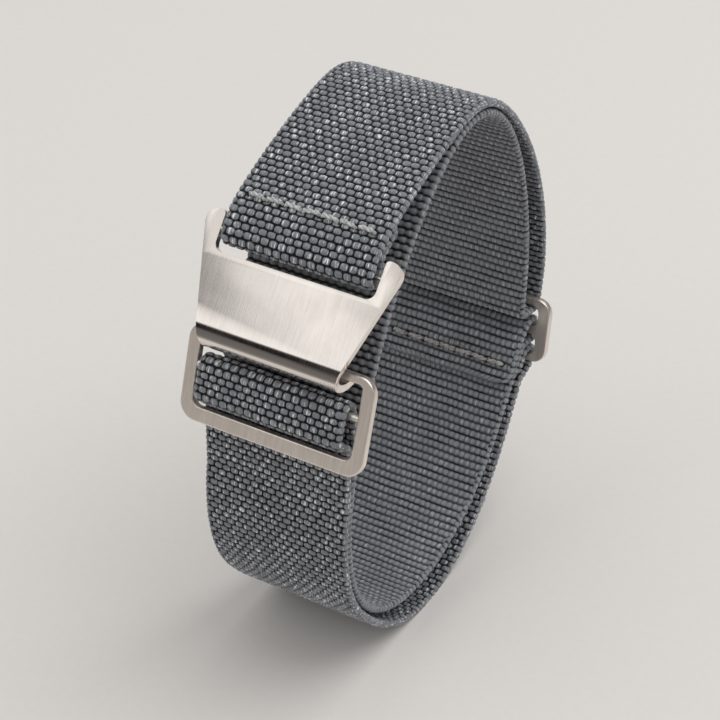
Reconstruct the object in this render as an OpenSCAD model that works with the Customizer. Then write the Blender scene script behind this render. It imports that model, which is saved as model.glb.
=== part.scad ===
// Stretch watch band: two layers of elastic webbing in an upright oval loop, closed at the
// front by a curled hook plate and a two-slot catch ring, with a two-slot slider at the back.
// X runs along the webbing's width, -Y is the clasp side, +Z is up.
// The origin is at the middle of the flat that the band stands on.
// A profile point is [y, z] from the loop's centre, with the loop upright; standing() rolls it
// back onto the table. Angles round the loop start at the back and climb over the top.

/* [Webbing] */
// Width of the webbing
strap_w = 20; // [16:0.5:24]
// Thickness of the webbing
strap_t = 1.1; // [0.9:0.05:1.3]
// Air between two layers that lie on each other
layer_clear = 0.1; // [0.05:0.05:0.2]

/* [Loop] */
// Clear depth inside the loop, front to back
inner_depth = 41.2; // [38:0.2:50]
// Clear height inside the loop
inner_height = 62.2; // [58:0.2:72]
// How far the top of the loop leans to the back
loop_lean = 1.1; // [0:0.1:2]
// How much higher the back bulges than the front
loop_shear = 2.9; // [2:0.1:4]
// How much fuller the lower half is than the upper half
loop_egg = 0.19; // [0.1:0.01:0.25]
// How far the loop rolls back, clasp side up, until it balances on its flat, in degrees
loop_roll = 8.5; // [6:0.5:11]
// Depth of the flat that the webbing presses on the table
rest_flat = 0.5; // [0.3:0.05:0.6]

/* [Layer gaps] */
// Air between the layers at the back, above the slider
back_gap = 4.1; // [3.6:0.1:4.6]
// Air between the layers at the back, below the slider
lower_back_gap = 2.1; // [1.6:0.1:2.6]
// Air between the layers under the loop
bottom_gap = 4; // [3:0.1:5.5]

/* [Hook] */
// Width of the hook plate at its strap bar
hook_top_w = 26.7; // [26:0.1:30]
// Width of the hook plate where its curl begins
hook_low_w = 19.4; // [15:0.1:22]
// Height of the flat of the hook plate
hook_h = 13.1; // [11:0.1:16]
// Thickness of the hook plate
hook_t = 0.9; // [0.7:0.05:1]
// Outer radius of the hook's curl
curl_r = 2.5; // [2.3:0.05:2.8]
// Lip that turns up behind the ring
lip_h = 0.1; // [0.1:0.1:0.5]
// Distance of the strap bar's axis below the plate's top edge
hook_bar_drop = 2.2; // [2:0.1:2.5]
// Distance of the slot's lower edge below the plate's top edge
hook_slot_drop = 4.8; // [4.2:0.1:6]
// Backward lean of the hook plate's top, in degrees
hook_tilt = 31.2; // [28:0.2:34]
// Radius of the plate's upper corners
hook_corner_r = 1.5; // [1:0.1:1.8]

/* [Ring] */
// Width of the catch ring
ring_w = 24.9; // [24:0.1:29]
// Height of the catch ring
ring_h = 12.1; // [11.6:0.1:15]
// Thickness of the catch ring
ring_t = 1; // [0.8:0.05:1.1]
// Height of the ring's top bar
ring_top_bar = 1; // [0.9:0.1:1.4]
// Height of the ring's bottom bar
ring_low_bar = 1.9; // [1.4:0.1:2.2]
// Distance of the centre bar's axis below the ring's top edge
ring_bar_drop = 5.1; // [5:0.1:5.7]
// How far the ring hangs to the right of the hook's middle
ring_shift = 0.75; // [0:0.05:0.8]
// How far the short strap leans to the right where it meets the ring
strap_lean = 0.5; // [0:0.05:0.6]
// Backward lean of the ring's top, in degrees
ring_tilt = 10; // [8:0.5:13]
// Radius of the ring's outer corners
ring_corner_r = 2.2; // [1:0.1:3]

/* [Slider] */
// Width of the slider plate
slider_w = 24.6; // [24:0.1:29]
// Thickness of the slider plate
slider_t = 1; // [0.8:0.05:1.1]
// Height of the slider's outer bars
slider_bar = 1; // [0.8:0.1:1.4]
// Height of the slider's centre bar
slider_mid_bar = 1.2; // [1:0.1:1.6]
// Height of each slider slot
slider_slot = 3; // [2.9:0.1:3.6]
// Radius of the slider's outer corners
slider_corner_r = 2; // [1:0.1:2.4]
// Length of the sewn tail inside the loop
tail_len = 5.8; // [5:0.1:7]

/* [Slots and bars] */
// Side air between the webbing and the end of a slot
slot_clear = 0.6; // [0.3:0.05:0.8]
// Side air between the hook's curl and the end of the ring's window
curl_clear = 0.35; // [0.3:0.05:0.6]
// Radius of the slots' corners
slot_corner_r = 1.1; // [0.4:0.1:1.3]
// Air between a fold of webbing and the bar inside it
bar_clear = 0.1; // [0.08:0.01:0.15]

/* [Stitching] */
// Thickness of the sewing thread
thread_d = 0.4; // [0.3:0.05:0.5]
// Stitches in one row
stitch_count = 7; // [5:1:9]
// Gap between two stitches
stitch_gap = 0.5; // [0.3:0.1:0.8]
// Distance of a row's ends from the webbing's edges
stitch_inset = 1.8; // [1:0.1:3]

/* [Hidden] */
$fn = 32;

// Angle of one step of the webbing's curve
curve_step = 5;
// Steps in a rounded corner
corner_steps = 6;
half_t = strap_t / 2;
layer_pitch = strap_t + layer_clear;
slot_w = strap_w + 2 * slot_clear;
ring_slot_w = max(slot_w, hook_low_w + 2 * (ring_shift + curl_clear));

// Angles round the loop at which one length of webbing ends and the next begins
back_high = 24;
back_slider = 0;
back_low = 322;
back_lower_end = 304;
ring_meet = 192;
// Where the upper outer layer leaves the inner one for the hook, and its curve's handles
top_leave = 92;
top_handle = 6;
hook_handle = 2.5;
// Shares of that curve at which its lengths meet, the fold is sewn and its tail ends
leave_step = 0.0625;
stretch_start = 0.3;
fold_start = 0.6;
hook_tail_end = 0.68;
hook_seam = 0.82;
hook_tail_start = 0.93;
// Middle and half spans of the gap at the back and of the gap under the loop
back_gap_mid = 355;
back_gap_span = 75;
bottom_gap_mid = 281;
bottom_gap_span = 47;
bottom_gap_span_front = 48;

// The oval of the inner layer's inner face, about its own centre
function skew(u) = cos(u) * (1 - loop_egg * sin(u));
function skew_rate(u) = -sin(u) - loop_egg * (cos(u) * cos(u) - sin(u) * sin(u));
function oval(u) = [
    inner_depth / 2 * skew(u) + loop_lean * sin(u),
    inner_height / 2 * sin(u) + loop_shear * skew(u)];
function oval_rate(u) = [
    inner_depth / 2 * skew_rate(u) + loop_lean * cos(u),
    inner_height / 2 * cos(u) + loop_shear * skew_rate(u)];
function oval_normal(u) = let (rate = oval_rate(u)) [rate[1], -rate[0]] / norm(rate);
function loop_heading(u) = left_of(oval_normal(u));

// A smooth hump of height 1 that falls to 0 at span either side of mid
function hump(u, mid, span) = abs(u - mid) < span ? (1 + cos(180 * (u - mid) / span)) / 2 : 0;
function from_back(u) = u < 180 ? u + 360 : u;
// Distances of the outer layer's middle line from the inner layer's inner face
function upper_lift(u) = half_t + layer_pitch
    + back_gap * hump(from_back(u), back_gap_mid, back_gap_span);
function lower_lift(u) = half_t + layer_pitch + (u < bottom_gap_mid
    ? bottom_gap * hump(u, bottom_gap_mid, bottom_gap_span_front)
    : lower_back_gap + (bottom_gap - lower_back_gap) * hump(u, bottom_gap_mid, bottom_gap_span));

function on_oval(u, lift) = oval(u) + lift * oval_normal(u);

// The rolled loop stands on the flat cut into its lowest webbing
function rolled(p) = [p[0] * cos(loop_roll) + p[1] * sin(loop_roll),
    p[1] * cos(loop_roll) - p[0] * sin(loop_roll)];
outer_low = [for (u = [240:320]) rolled(on_oval(u, lower_lift(u) + half_t))];
table_z = min([for (p = outer_low) p[1]]) + rest_flat;
table_y = [for (p = outer_low) if (p[1] < table_z - rest_flat / 2) p[0]];
stand_y = (min(table_y) + max(table_y)) / 2;

module standing() {
    translate([0, -stand_y, -table_z])
        rotate([-loop_roll, 0, 0])
            children();
}

// The short strap leans across a little more the higher it climbs
module leaning() {
    multmatrix([[1, 0, strap_lean / ring_bar_z, 0], [0, 1, 0, 0], [0, 0, 1, 0]])
        children();
}

// Middle lines of the three layers
function inner_line(u) = on_oval(u, half_t);
function upper_line(u) = on_oval(u, upper_lift(u));
function lower_line(u) = on_oval(u, lower_lift(u));
function angles(from, to) = let (n = ceil(abs(to - from) / curve_step))
    [for (i = [0:n]) from + (to - from) * i / n];

// Plane vectors
function unit(v) = v / norm(v);
function left_of(v) = [-v[1], v[0]];
function toward(a, b, f) = a + (b - a) * f;
function heading(path, i) = unit(
    (i < len(path) - 1 ? unit(path[i + 1] - path[i]) : [0, 0])
    + (i > 0 ? unit(path[i] - path[i - 1]) : [0, 0]));
// A line d to the left of a path, whose ends may be squared to given headings
function beside(path, d, first, last) = [for (i = [0:len(path) - 1])
    path[i] + d * left_of(i == 0 && !is_undef(first) ? first
        : i == len(path) - 1 && !is_undef(last) ? last : heading(path, i))];
function between(path) = [for (i = [1:len(path) - 2]) path[i]];
function backward(path) = [for (i = [len(path) - 1:-1:0]) path[i]];

// The rounded corner at b between the points a and c
function corner(a, b, c, r) = let (
    to_a = unit(a - b),
    to_c = unit(c - b),
    half = acos(to_a * to_c) / 2,
    mid = b + unit(to_a + to_c) * r / sin(half),
    start = b + to_a * r / tan(half) - mid,
    end = b + to_c * r / tan(half) - mid)
    [for (i = [0:corner_steps]) mid + r * unit(toward(start, end, i / corner_steps))];
// An open line through points, its inner points rounded
function bent(p, r) = concat([p[0]],
    [for (i = [1:len(p) - 2]) each corner(p[i - 1], p[i], p[i + 1], is_list(r) ? r[i - 1] : r)],
    [p[len(p) - 1]]);
// A closed outline with every corner rounded
function outline(p, r) = let (n = len(p)) [for (i = [0:n - 1])
    each corner(p[(i + n - 1) % n], p[i], p[(i + 1) % n], is_list(r) ? r[i] : r)];
function box_outline(w, low, high) = [[-w / 2, low], [w / 2, low], [w / 2, high], [-w / 2, high]];

// A point drop below and out in front of a leaning plate's top front edge
function on_plate(top, tilt, drop, out) =
    top + drop * [-sin(tilt), -cos(tilt)] + out * [-cos(tilt), sin(tilt)];

// How far a round bar stays inside the plate's faces
bar_inset = 0.03;
// Air under a stitch
stitch_air = 0.01;

// Place of the hook plate's top front edge, out from the inner layer
hook_angle = 140.4;
hook_lift = 7.4;
hook_top = on_oval(hook_angle, hook_lift);
function on_hook(drop, out) = on_plate(hook_top, hook_tilt, drop, out);
hook_bar_r = hook_t / 2 - bar_inset;
hook_fold_r = hook_t / 2 + bar_clear + half_t;
hook_front = hook_fold_r - hook_t / 2;

// The upper outer layer's curve from the top of the loop to the front of the hook
top_point = upper_line(top_leave);
hook_point = on_hook(0, hook_front);
function smooth(a, b, c, d, f) = pow(1 - f, 3) * a + 3 * pow(1 - f, 2) * f * b
    + 3 * (1 - f) * f * f * c + pow(f, 3) * d;
function front_curve(f) = smooth(top_point, top_point + top_handle * loop_heading(top_leave),
    on_hook(-hook_handle, hook_front), hook_point, f);
function front_line(from, to) = let (n = ceil(abs(to - from) / leave_step))
    [for (i = [0:n]) front_curve(from + (to - from) * i / n)];
function front_heading(f) = unit(front_curve(f + stitch_air) - front_curve(f - stitch_air));

// The ring's top bar lies in the hook's curl
seat_down = 0.25;
seat_back = 0.48;
ring_top = on_plate(on_hook(hook_h + seat_down, -curl_r - seat_back), ring_tilt,
    -ring_top_bar / 2, ring_t / 2);
function on_ring(drop, out) = on_plate(ring_top, ring_tilt, drop, out);
ring_bar_r = ring_t / 2 - bar_inset;
ring_fold_r = ring_t / 2 + bar_clear + half_t;
ring_front = ring_fold_r - ring_t / 2;
ring_low_top = ring_h - ring_low_bar;
ring_bar_z = rolled(on_ring(ring_bar_drop, -ring_t / 2))[1] - table_z;

// Slider plate's middle, inside the upper outer layer
slider_drop = 8.2;
slider_h = 2 * slider_bar + slider_mid_bar + 2 * slider_slot;
slider_out = slider_t / 2 + bar_clear + half_t;
slider_y = upper_line(back_slider)[0] - slider_out;
slider_z = oval(back_slider)[1] - slider_drop;
function on_slider(out, up) = [slider_y + out, slider_z + up];

// Lines of the webbing through the slider: the turn under the top bar, the fold over the
// centre bar, the fold over the bottom bar, and the run between those two folds
fold_r = half_t + bar_clear;
bend_r = strap_t;
turn_up = slider_mid_bar / 2 + slider_slot - fold_r;
mid_top = slider_mid_bar / 2 + fold_r;
low_top = -slider_mid_bar / 2 - slider_slot + fold_r;
run_up = low_top + layer_pitch;
run_knee = on_slider(-slider_out - strap_t, run_up);
leg_heading = unit(inner_line(back_low) - run_knee);
leg_inward = [leg_heading[1], -leg_heading[0]];
tail_knee = run_knee + layer_pitch * leg_inward;
tail_end = tail_knee + tail_len * leg_heading;
tail_seam_up = 2.7;
low_tail_len = 4;
low_tail_end = on_slider(-slider_out, low_top) + low_tail_len * leg_heading;
low_knee = low_tail_end - (layer_pitch + layer_clear) * leg_inward;
low_turn = on_slider(slider_out, -slider_h / 2 - strap_t);

// Lines of the short strap at the ring: forward through the lower slot from behind the
// bottom bar, over the centre bar, and down behind as a sewn tail
ring_knee_up = 0.6;
ring_knee_back = 1.1;
ring_turn_up = 1.4;
ring_tail_len = 2;
ring_seam_down = 1.2;
ring_knee = on_ring(ring_low_top - ring_knee_up, -ring_t - ring_knee_back);
ring_heading = unit(lower_line(ring_meet) - ring_knee);
ring_inward = left_of(ring_heading);
ring_tail_knee = ring_knee + (layer_pitch + layer_clear) * ring_inward;

module profile(points, w) {
    rotate([90, 0, 90])
        linear_extrude(w, center = true)
            polygon(points);
}

// A flat length of webbing along a line
module webbing(path, first, last) {
    profile(concat(beside(path, half_t, first, last),
        backward(beside(path, -half_t, first, last))), strap_w);
}

module at_plate(top, tilt) {
    translate([0, top[0], top[1]])
        rotate([-tilt, 0, 0])
            children();
}

// A plate cut from an outline, its front face on the plane y = 0 of its own frame
module plate(points, t) {
    translate([0, t, 0])
        rotate([90, 0, 0])
            linear_extrude(t)
                polygon(points);
}

module slot_cut(w, low, high, t) {
    translate([0, -t, 0])
        plate(outline(box_outline(w, low, high), slot_corner_r), 3 * t);
}

module round_bar(length, r) {
    rotate([0, 90, 0])
        cylinder(h = length, r = r, center = true);
}

// A row of stitches along the width, lying on the side of the webbing at a point of its line
module stitch_row(point, side) {
    pitch = (strap_w - 2 * stitch_inset + stitch_gap) / stitch_count;
    at = point + (half_t + thread_d / 2 + stitch_air) * side;
    for (i = [0:stitch_count - 1])
        translate([(i - (stitch_count - 1) / 2) * pitch, at[0], at[1]])
            round_bar(pitch - stitch_gap, thread_d / 2);
}

// Front view of the hook plate: two ears beside the strap's slot, narrower at the lip
hook_low = hook_h + curl_r + hook_t;
hook_end_w = hook_top_w - (hook_top_w - hook_low_w) * hook_low / hook_h;
// Radius of the ears' inner corners
ear_r = 0.5;
// Narrow ears take smaller corners
ear_w = (hook_top_w - slot_w) / 2;
ear_corner = 45 - atan((hook_top_w - hook_low_w) / (2 * hook_h)) / 2;
ear_fit = min(1, ear_w / (hook_corner_r / tan(ear_corner) + ear_r));
top_r = hook_corner_r * ear_fit;
slot_top_r = ear_r * ear_fit;
hook_outline = outline([[-hook_top_w / 2, 0], [-hook_end_w / 2, -hook_low],
    [hook_end_w / 2, -hook_low], [hook_top_w / 2, 0], [slot_w / 2, 0],
    [slot_w / 2, -hook_slot_drop], [-slot_w / 2, -hook_slot_drop], [-slot_w / 2, 0]],
    [top_r, hook_t, hook_t, top_r, slot_top_r, slot_corner_r, slot_corner_r, slot_top_r]);

// Side view of the hook plate: a flat that ends in an inward curl and a short lip
function curl_point(r, a) = [curl_r - r * cos(a), -hook_h - r * sin(a)];
function lip_point(a) = [2 * curl_r - hook_t / 2 + hook_t / 2 * cos(a),
    lip_h - hook_h + hook_t / 2 * sin(a)];
hook_side = concat([[hook_t, hook_t], [0, hook_t]],
    [for (a = [0:10:180]) curl_point(curl_r, a)],
    [for (a = [0:30:180]) lip_point(a)],
    [for (a = [180:-10:0]) curl_point(curl_r - hook_t, a)]);

module hook_plate() {
    color("#d7cfc7") standing()
        at_plate(hook_top, hook_tilt) {
            intersection() {
                profile(hook_side, hook_top_w);
                translate([0, -hook_t, 0])
                    plate(hook_outline, 2 * curl_r + 2 * hook_t);
            }
            translate([0, hook_t / 2, -hook_bar_drop])
                round_bar(slot_w + 2 * hook_t, hook_bar_r);
        }
}

// The hook end of the long strap: down in front of the bar, round it, and up behind
module hook_fold() {
    wrap = [for (a = [0:15:180])
        on_hook(hook_bar_drop + hook_fold_r * sin(a), -hook_t / 2 + hook_fold_r * cos(a))];
    behind = beside(front_line(hook_tail_start, hook_tail_end), -layer_pitch);
    color("#6e737a") standing()
        webbing(concat(front_line(fold_start, 1), wrap, behind), front_heading(fold_start));
}

module hook_stitching() {
    color("#bdbcb9") standing()
        stitch_row(front_curve(hook_seam), -left_of(front_heading(hook_seam)));
}

module front_stretch_webbing() {
    color("#757a81") standing()
        webbing(front_line(stretch_start, fold_start), front_heading(stretch_start),
            front_heading(fold_start));
}

module outer_upper_strap() {
    color("#6e737a") standing()
        webbing(concat([for (u = angles(back_high, top_leave)) upper_line(u)],
            front_line(leave_step, stretch_start)),
            loop_heading(back_high), front_heading(stretch_start));
}

module outer_upper_back_webbing() {
    color("#757a81") standing()
        webbing([for (u = angles(back_slider, back_high)) upper_line(u)],
            loop_heading(back_slider), loop_heading(back_high));
}

// The long strap's turn under the slider's top bar, from the outer layer to the inner one
module slider_turn() {
    inner_leg = inner_line(back_slider);
    up = loop_heading(back_slider);
    turn_z = on_slider(0, turn_up)[1];
    color("#6e737a") standing()
        webbing(bent([upper_line(back_slider), on_slider(slider_out, turn_up),
            inner_leg - up * (inner_leg[1] - turn_z) / up[1], inner_leg], [fold_r, bend_r]), -up, up);
}

module inner_upper_back_webbing() {
    color("#757a81") standing()
        webbing([for (u = angles(back_slider, back_high)) inner_line(u)],
            loop_heading(back_slider), loop_heading(back_high));
}

module inner_loop_strap() {
    color("#62676d") standing()
        webbing([for (u = angles(back_high, back_lower_end)) inner_line(u)],
            loop_heading(back_high), loop_heading(back_lower_end));
}

module inner_lower_back_webbing() {
    color("#757a81") standing()
        webbing([for (u = angles(back_lower_end, back_low)) inner_line(u)],
            loop_heading(back_lower_end), loop_heading(back_low));
}

// The slider end of the long strap: out under the centre bar, over it, and down as a sewn tail
module slider_fold() {
    color("#6e737a") standing()
        webbing(bent([inner_line(back_low), run_knee, on_slider(slider_out, run_up),
            on_slider(slider_out, mid_top), on_slider(-slider_out, mid_top), tail_knee, tail_end],
            [bend_r, fold_r, fold_r, fold_r, bend_r]), loop_heading(back_low));
}

module slider() {
    low_slot = -slider_mid_bar / 2 - slider_slot;
    color("#82796f") standing()
        translate([0, slider_y - slider_t / 2, slider_z])
            difference() {
                plate(outline(box_outline(slider_w, -slider_h / 2, slider_h / 2),
                    slider_corner_r), slider_t);
                slot_cut(slot_w, low_slot, low_slot + slider_slot, slider_t);
                slot_cut(slot_w, slider_mid_bar / 2, slider_mid_bar / 2 + slider_slot, slider_t);
            }
}

module slider_stitching() {
    color("#a9a6a1") standing()
        stitch_row(tail_end - tail_seam_up * leg_heading, leg_inward);
}

// The slider end of the short strap: up outside, over the bottom bar, and down as a sewn tail
module lower_slider_fold() {
    color("#6e737a") standing()
        webbing(bent([lower_line(back_low), low_knee, low_turn,
            on_slider(slider_out, low_top), on_slider(-slider_out, low_top), low_tail_end],
            [bend_r, bend_r, fold_r, fold_r]), loop_heading(back_low));
}

module lower_fold_stitching() {
    color("#a9a6a1") standing()
        stitch_row(low_knee - bend_r * unit(low_knee - lower_line(back_low)), -leg_inward);
}

module outer_lower_back_webbing() {
    color("#757a81") standing()
        webbing([for (u = angles(back_lower_end, back_low)) lower_line(u)],
            loop_heading(back_lower_end), loop_heading(back_low));
}

// The short strap: its sewn tail, the fold over the ring's centre bar, and the outer lower run
module ring_strap() {
    wrap = [for (a = [180:-15:0])
        on_ring(ring_bar_drop - ring_fold_r * sin(a), -ring_t / 2 + ring_fold_r * cos(a))];
    wrap_end = wrap[len(wrap) - 1];
    color("#6e737a")
        difference() {
            leaning() standing() webbing(concat(
                bent([ring_tail_knee + ring_tail_len * ring_heading, ring_tail_knee, wrap[0]],
                    bend_r),
                between(wrap),
                bent([wrap_end, on_ring(ring_low_top - ring_turn_up, ring_front), ring_knee,
                    lower_line(ring_meet)], bend_r),
                [for (u = angles(ring_meet + curve_step, back_lower_end)) lower_line(u)]),
                undef, loop_heading(back_lower_end));
            translate([-strap_w, -strap_w, -strap_w])
                cube([2 * strap_w, 2 * strap_w, strap_w]);
        }
}

module ring_stitching() {
    color("#a9a6a1") leaning() standing()
        stitch_row(ring_knee + ring_seam_down * ring_heading, -ring_inward);
}

// The two-slot ring, with a rounded top bar for the hook and a round bar for the webbing
module catch_ring() {
    ring_outline = outline(box_outline(ring_w, -ring_h, 0), ring_corner_r);
    bar_low = -ring_bar_drop - ring_t;
    bar_high = -ring_bar_drop + ring_t;
    color("#b9ada1") standing() translate([ring_shift, 0, 0])
        at_plate(ring_top, ring_tilt) {
            difference() {
                plate(ring_outline, ring_t);
                slot_cut(ring_slot_w, -ring_low_top, bar_low + slot_corner_r, ring_t);
                slot_cut(ring_slot_w, bar_high - slot_corner_r, ring_t, ring_t);
                translate([-ring_slot_w / 2, -ring_t, bar_low])
                    cube([ring_slot_w, 3 * ring_t, bar_high - bar_low]);
            }
            translate([0, ring_t / 2, -ring_bar_drop])
                round_bar(ring_slot_w + ring_t, ring_bar_r);
            intersection() {
                plate(ring_outline, ring_t);
                profile(outline([[0, -ring_top_bar], [ring_t, -ring_top_bar], [ring_t, 0], [0, 0]],
                    ring_bar_r), ring_slot_w + ring_t);
            }
        }
}

hook_plate();
hook_fold();
hook_stitching();
front_stretch_webbing();
outer_upper_strap();
outer_upper_back_webbing();
slider_turn();
inner_upper_back_webbing();
inner_loop_strap();
inner_lower_back_webbing();
slider_fold();
slider();
slider_stitching();
lower_slider_fold();
lower_fold_stitching();
outer_lower_back_webbing();
ring_strap();
ring_stitching();
catch_ring();
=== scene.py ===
import math

import bmesh
import bpy
import numpy as np
from mathutils import Matrix, Vector


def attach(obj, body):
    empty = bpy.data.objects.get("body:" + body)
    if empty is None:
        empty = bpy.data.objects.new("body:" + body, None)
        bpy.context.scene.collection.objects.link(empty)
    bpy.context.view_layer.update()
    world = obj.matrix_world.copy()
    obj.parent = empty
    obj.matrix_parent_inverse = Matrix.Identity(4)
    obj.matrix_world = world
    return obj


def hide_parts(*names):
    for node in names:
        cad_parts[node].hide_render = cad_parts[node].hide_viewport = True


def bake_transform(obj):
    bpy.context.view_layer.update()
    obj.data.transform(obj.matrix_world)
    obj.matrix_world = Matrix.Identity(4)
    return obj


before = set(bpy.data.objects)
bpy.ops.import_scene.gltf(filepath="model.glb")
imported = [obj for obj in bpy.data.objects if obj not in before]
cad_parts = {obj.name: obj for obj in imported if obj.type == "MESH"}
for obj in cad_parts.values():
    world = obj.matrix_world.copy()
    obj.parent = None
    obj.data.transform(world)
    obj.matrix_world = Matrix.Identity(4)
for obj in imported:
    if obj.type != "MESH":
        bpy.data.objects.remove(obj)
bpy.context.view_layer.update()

MM = 0.001

# Driving sizes of the band, in millimetres and degrees
STRAP_W = 20.0
STRAP_T = 1.1
LAYER_CLEAR = 0.1
HALF_T = STRAP_T / 2
LAYER_PITCH = STRAP_T + LAYER_CLEAR
BAR_CLEAR = 0.1

INNER_DEPTH = 41.2
INNER_HEIGHT = 62.2
LOOP_LEAN = 1.1
LOOP_SHEAR = 2.9
LOOP_EGG = 0.19
LOOP_ROLL = 8.5
REST_FLAT = 0.5
BACK_GAP = 4.1
LOWER_BACK_GAP = 2.1
BOTTOM_GAP = 4.0
BACK_GAP_MID, BACK_GAP_SPAN = 355, 75
BOTTOM_GAP_MID, BOTTOM_GAP_SPAN, BOTTOM_GAP_SPAN_FRONT = 281, 47, 48

BACK_HIGH = 24
BACK_SLIDER = 0
BACK_LOW = 322
BACK_LOWER_END = 304
RING_MEET = 192
TOP_LEAVE = 92
TOP_HANDLE = 6
HOOK_HANDLE = 2.5
STRETCH_START = 0.3
FOLD_START = 0.6
HOOK_TAIL_END = 0.68
HOOK_SEAM = 0.82
HOOK_TAIL_START = 0.93

HOOK_TOP_W = 26.7
HOOK_LOW_W = 19.4
HOOK_H = 13.1
HOOK_T = 0.9
CURL_R = 2.5
LIP_H = 0.1
HOOK_BAR_DROP = 2.2
HOOK_SLOT_DROP = 4.8
HOOK_TILT = 31.2
HOOK_CORNER_R = 1.5
EAR_R = 0.5
HOOK_ANGLE, HOOK_LIFT = 140.4, 7.4
SLOT_CLEAR = 0.6
SLOT_W = STRAP_W + 2 * SLOT_CLEAR
SLOT_CORNER_R = 1.1

RING_W = 24.9
RING_H = 12.1
RING_T = 1.0
RING_TOP_BAR = 1.0
RING_LOW_BAR = 1.9
RING_BAR_DROP = 5.1
RING_TILT = 10.0
RING_CORNER_R = 2.2
SEAT_DOWN, SEAT_BACK = 0.25, 0.48
RING_KNEE_UP, RING_KNEE_BACK = 0.6, 1.1
RING_TURN_UP = 1.4
RING_SHIFT = 0.75
CURL_CLEAR = 0.35
RING_SLOT_W = HOOK_LOW_W + 2 * (RING_SHIFT + CURL_CLEAR)
STRAP_LEAN = 0.5
RING_TAIL_LEN = 2
RING_SEAM_DOWN = 1.2

SLIDER_W = 24.6
SLIDER_T = 1.0
SLIDER_BAR = 1.0
SLIDER_MID_BAR = 1.2
SLIDER_SLOT = 3.0
SLIDER_CORNER_R = 2.0
SLIDER_DROP = 8.2
TAIL_LEN = 5.8
TAIL_SEAM_UP = 2.7
LOW_TAIL_LEN = 4.0

# The weave: one bump for each packet of warp that floats over a weft row
ROW = 0.86
COLUMN = 1.16
BEAD = 0.80
RIB = 1.2 * ROW
ROW_STEPS = 6
BUMP_HALF = 0.485
ROW_WAVE, ROW_WAVE_RATE = 0.03, 0.83
FINE_STEPS, PLAIN_STEPS = 8, 4
EDGE_STEPS = 9
BUMP_H = 0.34
FACE_HALF = 9.46
TAIL_CORNER = 1.8

STITCHES = 7
STITCH_GAP = 0.5
STITCH_INSET = 1.8
PLY_R = 0.165
PLY_OFFSET = 0.14
PLY_TURNS = 1.25
STITCH_RISE = 0.24

EDGE_SOFT = {"hook": 0.16, "ring": 0.17, "slider": 0.15}
BAR_IN_FOLD = 0.03


def unit(v):
    v = np.asarray(v, float)
    return v / np.linalg.norm(v)


def left_of(v):
    return np.array([-v[1], v[0]])


def sind(a):
    return math.sin(math.radians(a))


def cosd(a):
    return math.cos(math.radians(a))


# Profile of the loop, upright, about its own centre: points are (y, z)
def skew(u):
    return cosd(u) * (1 - LOOP_EGG * sind(u))


def skew_rate(u):
    return -sind(u) - LOOP_EGG * (cosd(u) ** 2 - sind(u) ** 2)


def oval(u):
    return np.array([INNER_DEPTH / 2 * skew(u) + LOOP_LEAN * sind(u),
                     INNER_HEIGHT / 2 * sind(u) + LOOP_SHEAR * skew(u)])


def oval_normal(u):
    rate = unit([INNER_DEPTH / 2 * skew_rate(u) + LOOP_LEAN * cosd(u),
                 INNER_HEIGHT / 2 * cosd(u) + LOOP_SHEAR * skew_rate(u)])
    return np.array([rate[1], -rate[0]])


def on_oval(u, lift):
    return oval(u) + lift * oval_normal(u)


def hump(u, mid, span):
    return (1 + cosd(180 * (u - mid) / span)) / 2 if abs(u - mid) < span else 0.0


def upper_lift(u):
    around = u + 360 if u < 180 else u
    return HALF_T + LAYER_PITCH + BACK_GAP * hump(around, BACK_GAP_MID, BACK_GAP_SPAN)


def lower_lift(u):
    if u < BOTTOM_GAP_MID:
        painted_gap_shade = BOTTOM_GAP * hump(u, BOTTOM_GAP_MID, BOTTOM_GAP_SPAN_FRONT)
    else:
        painted_gap_shade = LOWER_BACK_GAP + (BOTTOM_GAP - LOWER_BACK_GAP) * hump(u, BOTTOM_GAP_MID, BOTTOM_GAP_SPAN)
    return HALF_T + LAYER_PITCH + painted_gap_shade


def inner_line(u):
    return on_oval(u, HALF_T)


def upper_line(u):
    return on_oval(u, upper_lift(u))


def lower_line(u):
    return on_oval(u, lower_lift(u))


def along(line, start, end):
    count = int(abs(end - start) / 1.5) + 1
    return [line(start + (end - start) * i / count) for i in range(count + 1)]


def rolled(p):
    return np.array([p[0] * cosd(LOOP_ROLL) + p[1] * sind(LOOP_ROLL),
                     p[1] * cosd(LOOP_ROLL) - p[0] * sind(LOOP_ROLL)])


outer_low = [rolled(on_oval(u, lower_lift(u) + HALF_T)) for u in range(240, 321)]
TABLE_Z = min(p[1] for p in outer_low) + REST_FLAT
touching = [p[0] for p in outer_low if p[1] < TABLE_Z - REST_FLAT / 2]
STAND_Y = (min(touching) + max(touching)) / 2


def stand(points):
    """Profile points, or one of them, as they stand rolled back on the table."""
    points = np.asarray(points, float)
    y, z = points[..., 0], points[..., 1]
    return np.stack([y * cosd(LOOP_ROLL) + z * sind(LOOP_ROLL) - STAND_Y,
                     z * cosd(LOOP_ROLL) - y * sind(LOOP_ROLL) - TABLE_Z], -1)


def space(x, p):
    """A point of the object in metres, from its place across and its profile point."""
    y, z = stand(p)
    return Vector((x * MM, y * MM, z * MM))


def on_plate(top, tilt, drop, out):
    return top + drop * np.array([-sind(tilt), -cosd(tilt)]) + out * np.array([-cosd(tilt), sind(tilt)])


hook_top = on_oval(HOOK_ANGLE, HOOK_LIFT)


def on_hook(drop, out):
    return on_plate(hook_top, HOOK_TILT, drop, out)


HOOK_FOLD_R = HOOK_T / 2 + BAR_CLEAR + HALF_T
HOOK_FRONT = HOOK_FOLD_R - HOOK_T / 2
top_point = upper_line(TOP_LEAVE)
curve_pull = [top_point, top_point + TOP_HANDLE * left_of(oval_normal(TOP_LEAVE)),
              on_hook(-HOOK_HANDLE, HOOK_FRONT), on_hook(0, HOOK_FRONT)]


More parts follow.
